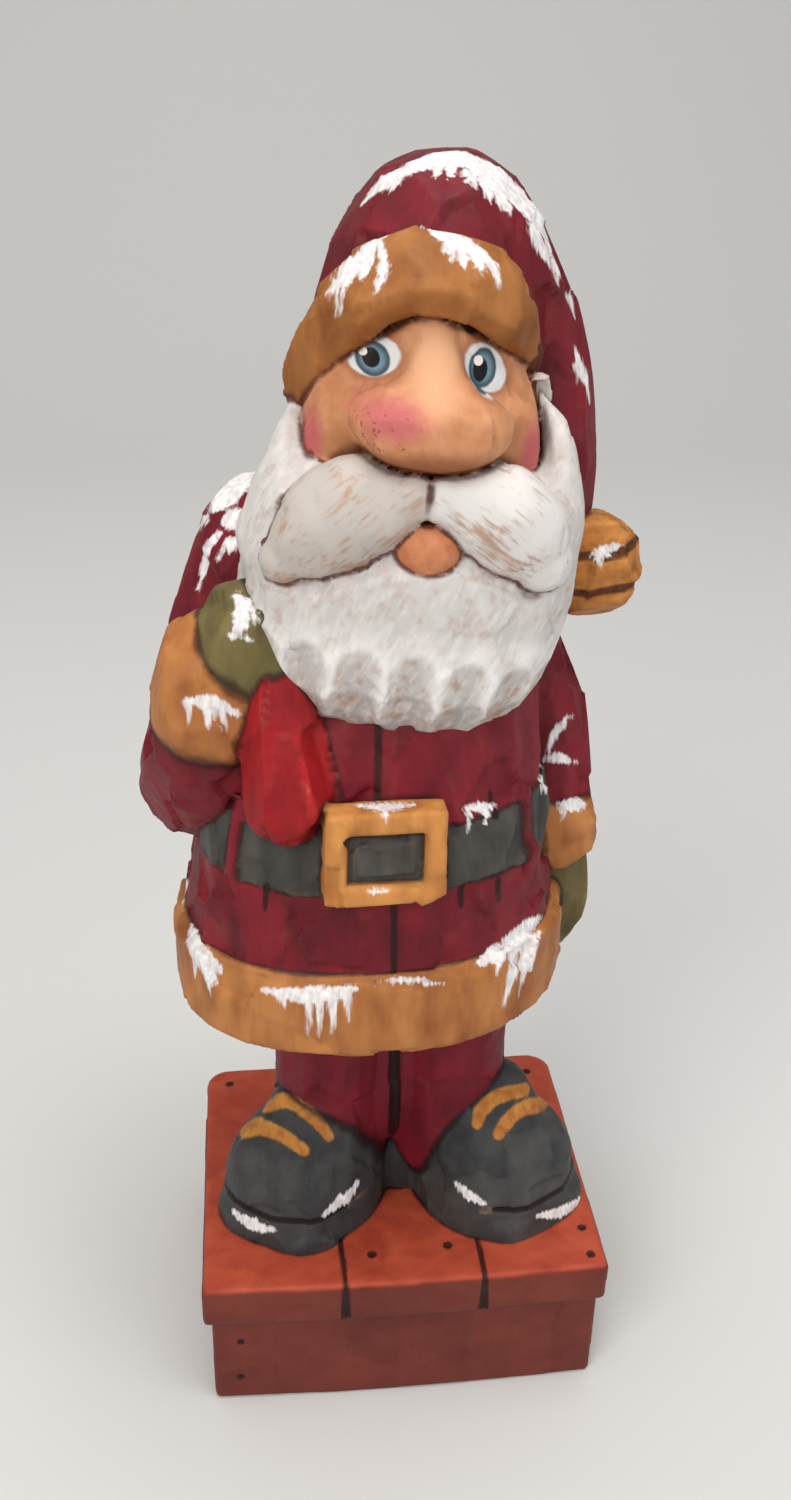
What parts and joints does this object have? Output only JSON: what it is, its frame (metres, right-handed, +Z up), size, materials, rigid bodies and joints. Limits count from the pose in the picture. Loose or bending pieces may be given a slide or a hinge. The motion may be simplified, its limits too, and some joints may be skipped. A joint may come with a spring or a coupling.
{
  "type": "santa figurine",
  "caption": "Carved and painted wooden Santa figure with a sack over one shoulder, standing on a plank-topped wooden base.",
  "frame": {"origin": "centre of the base's underside", "axes": "+Z up, the long axis of the figure; +X towards the figure's left hand; -Y ahead, where the face looks"},
  "size_m": [0.0719, 0.063, 0.1911],
  "materials": {
    "painted_wood": "matt acrylic paint over carved wood, with dark antiquing in the cuts",
    "brick_red_wood": "matt brick red paint, rubbed through at the edges"
  },
  "bodies": {
    "root": {"santa_figure": "painted_wood", "plank_base": "brick_red_wood"}
  },
  "joints": []
}
